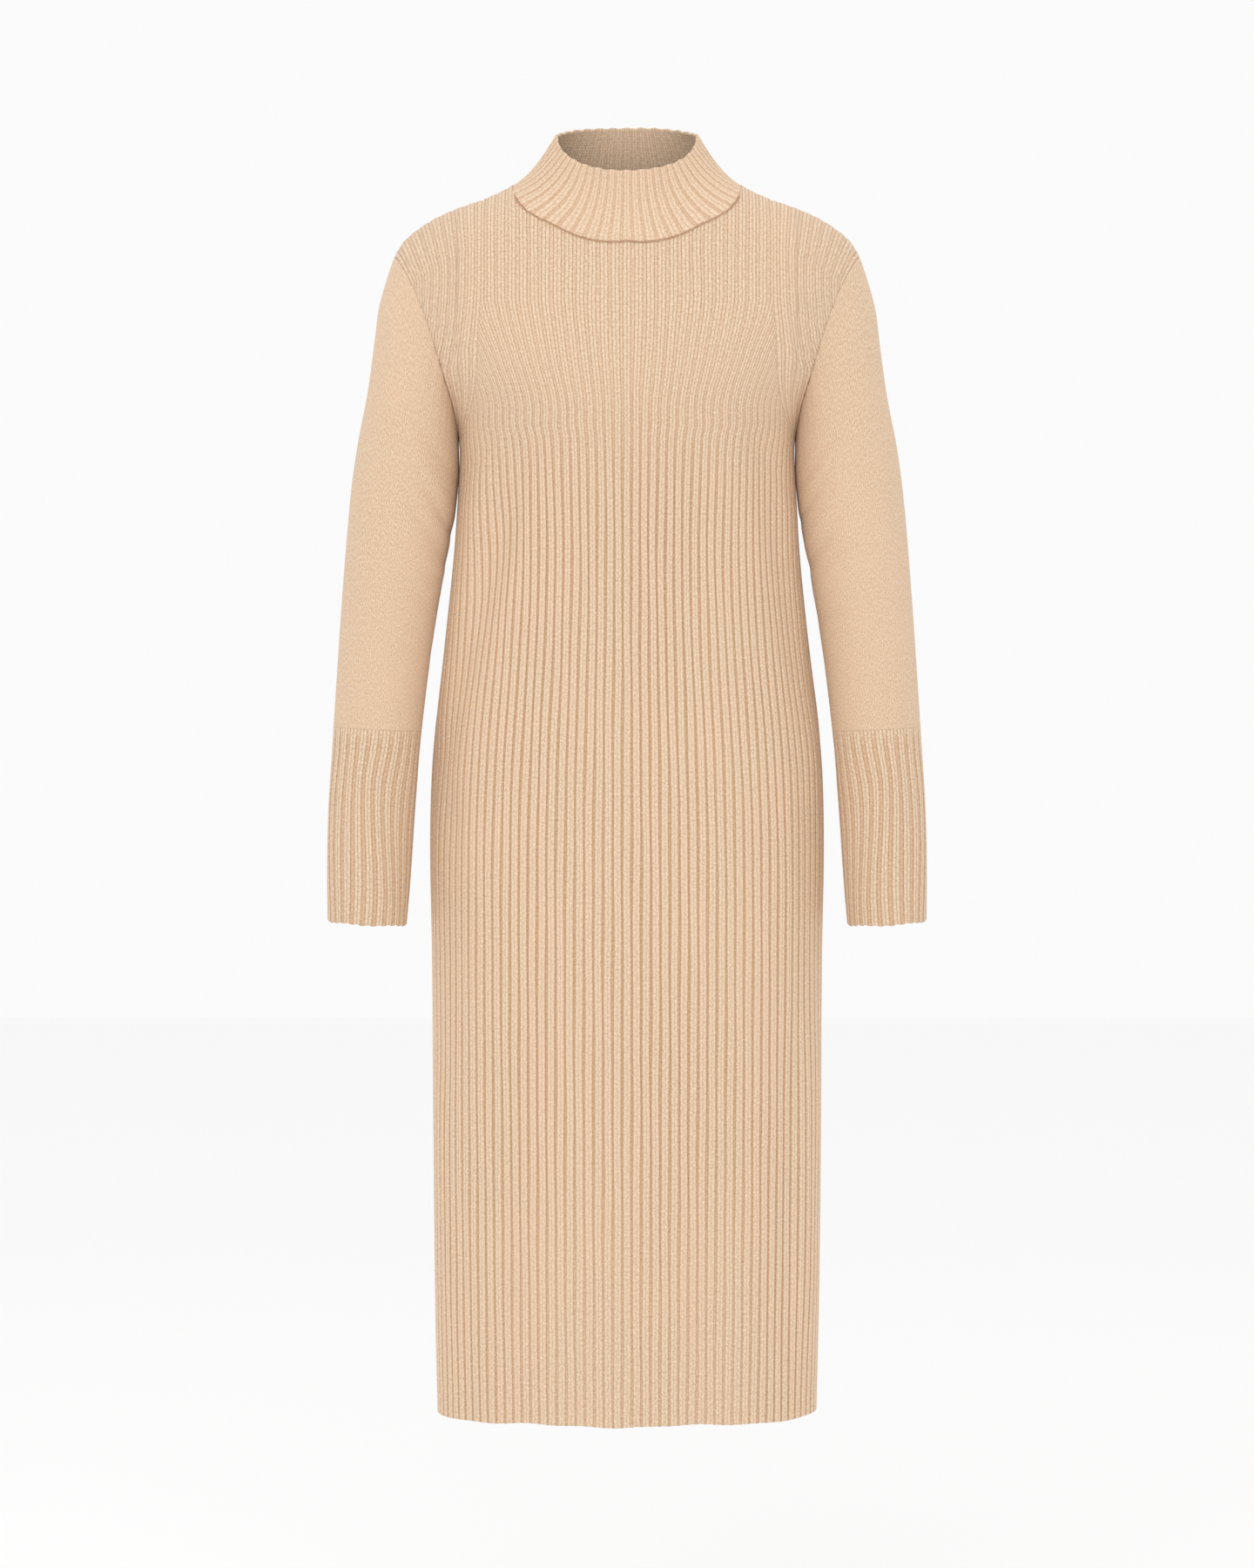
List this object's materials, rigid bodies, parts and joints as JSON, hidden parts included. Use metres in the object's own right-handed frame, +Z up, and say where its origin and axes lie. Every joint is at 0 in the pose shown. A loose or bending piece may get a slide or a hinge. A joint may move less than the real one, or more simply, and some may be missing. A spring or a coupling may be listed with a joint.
{
  "type": "sweater dress",
  "caption": "Ribbed midi sweater dress with a funnel collar, long plain-knit sleeves and deep ribbed cuffs, in a soft camel yarn",
  "frame": {"origin": "midway between the two high shoulder points beside the neck, where the dress rests on the wearer's shoulders", "axes": "+X to the wearer's left, +Y to the wearer's back, +Z up; the front of the dress faces -Y"},
  "size_m": [0.5424, 0.2222, 1.1701],
  "materials": {
    "rib_knit": "soft melange camel yarn knitted in a wide rib, matt",
    "plain_knit": "soft melange camel yarn in fine plain knit, matt"
  },
  "bodies": {
    "root": {"front": "rib_knit", "back": "rib_knit", "sleeve_left": "plain_knit", "sleeve_right": "plain_knit", "cuff_left": "rib_knit", "cuff_right": "rib_knit", "collar": "rib_knit"}
  },
  "joints": []
}
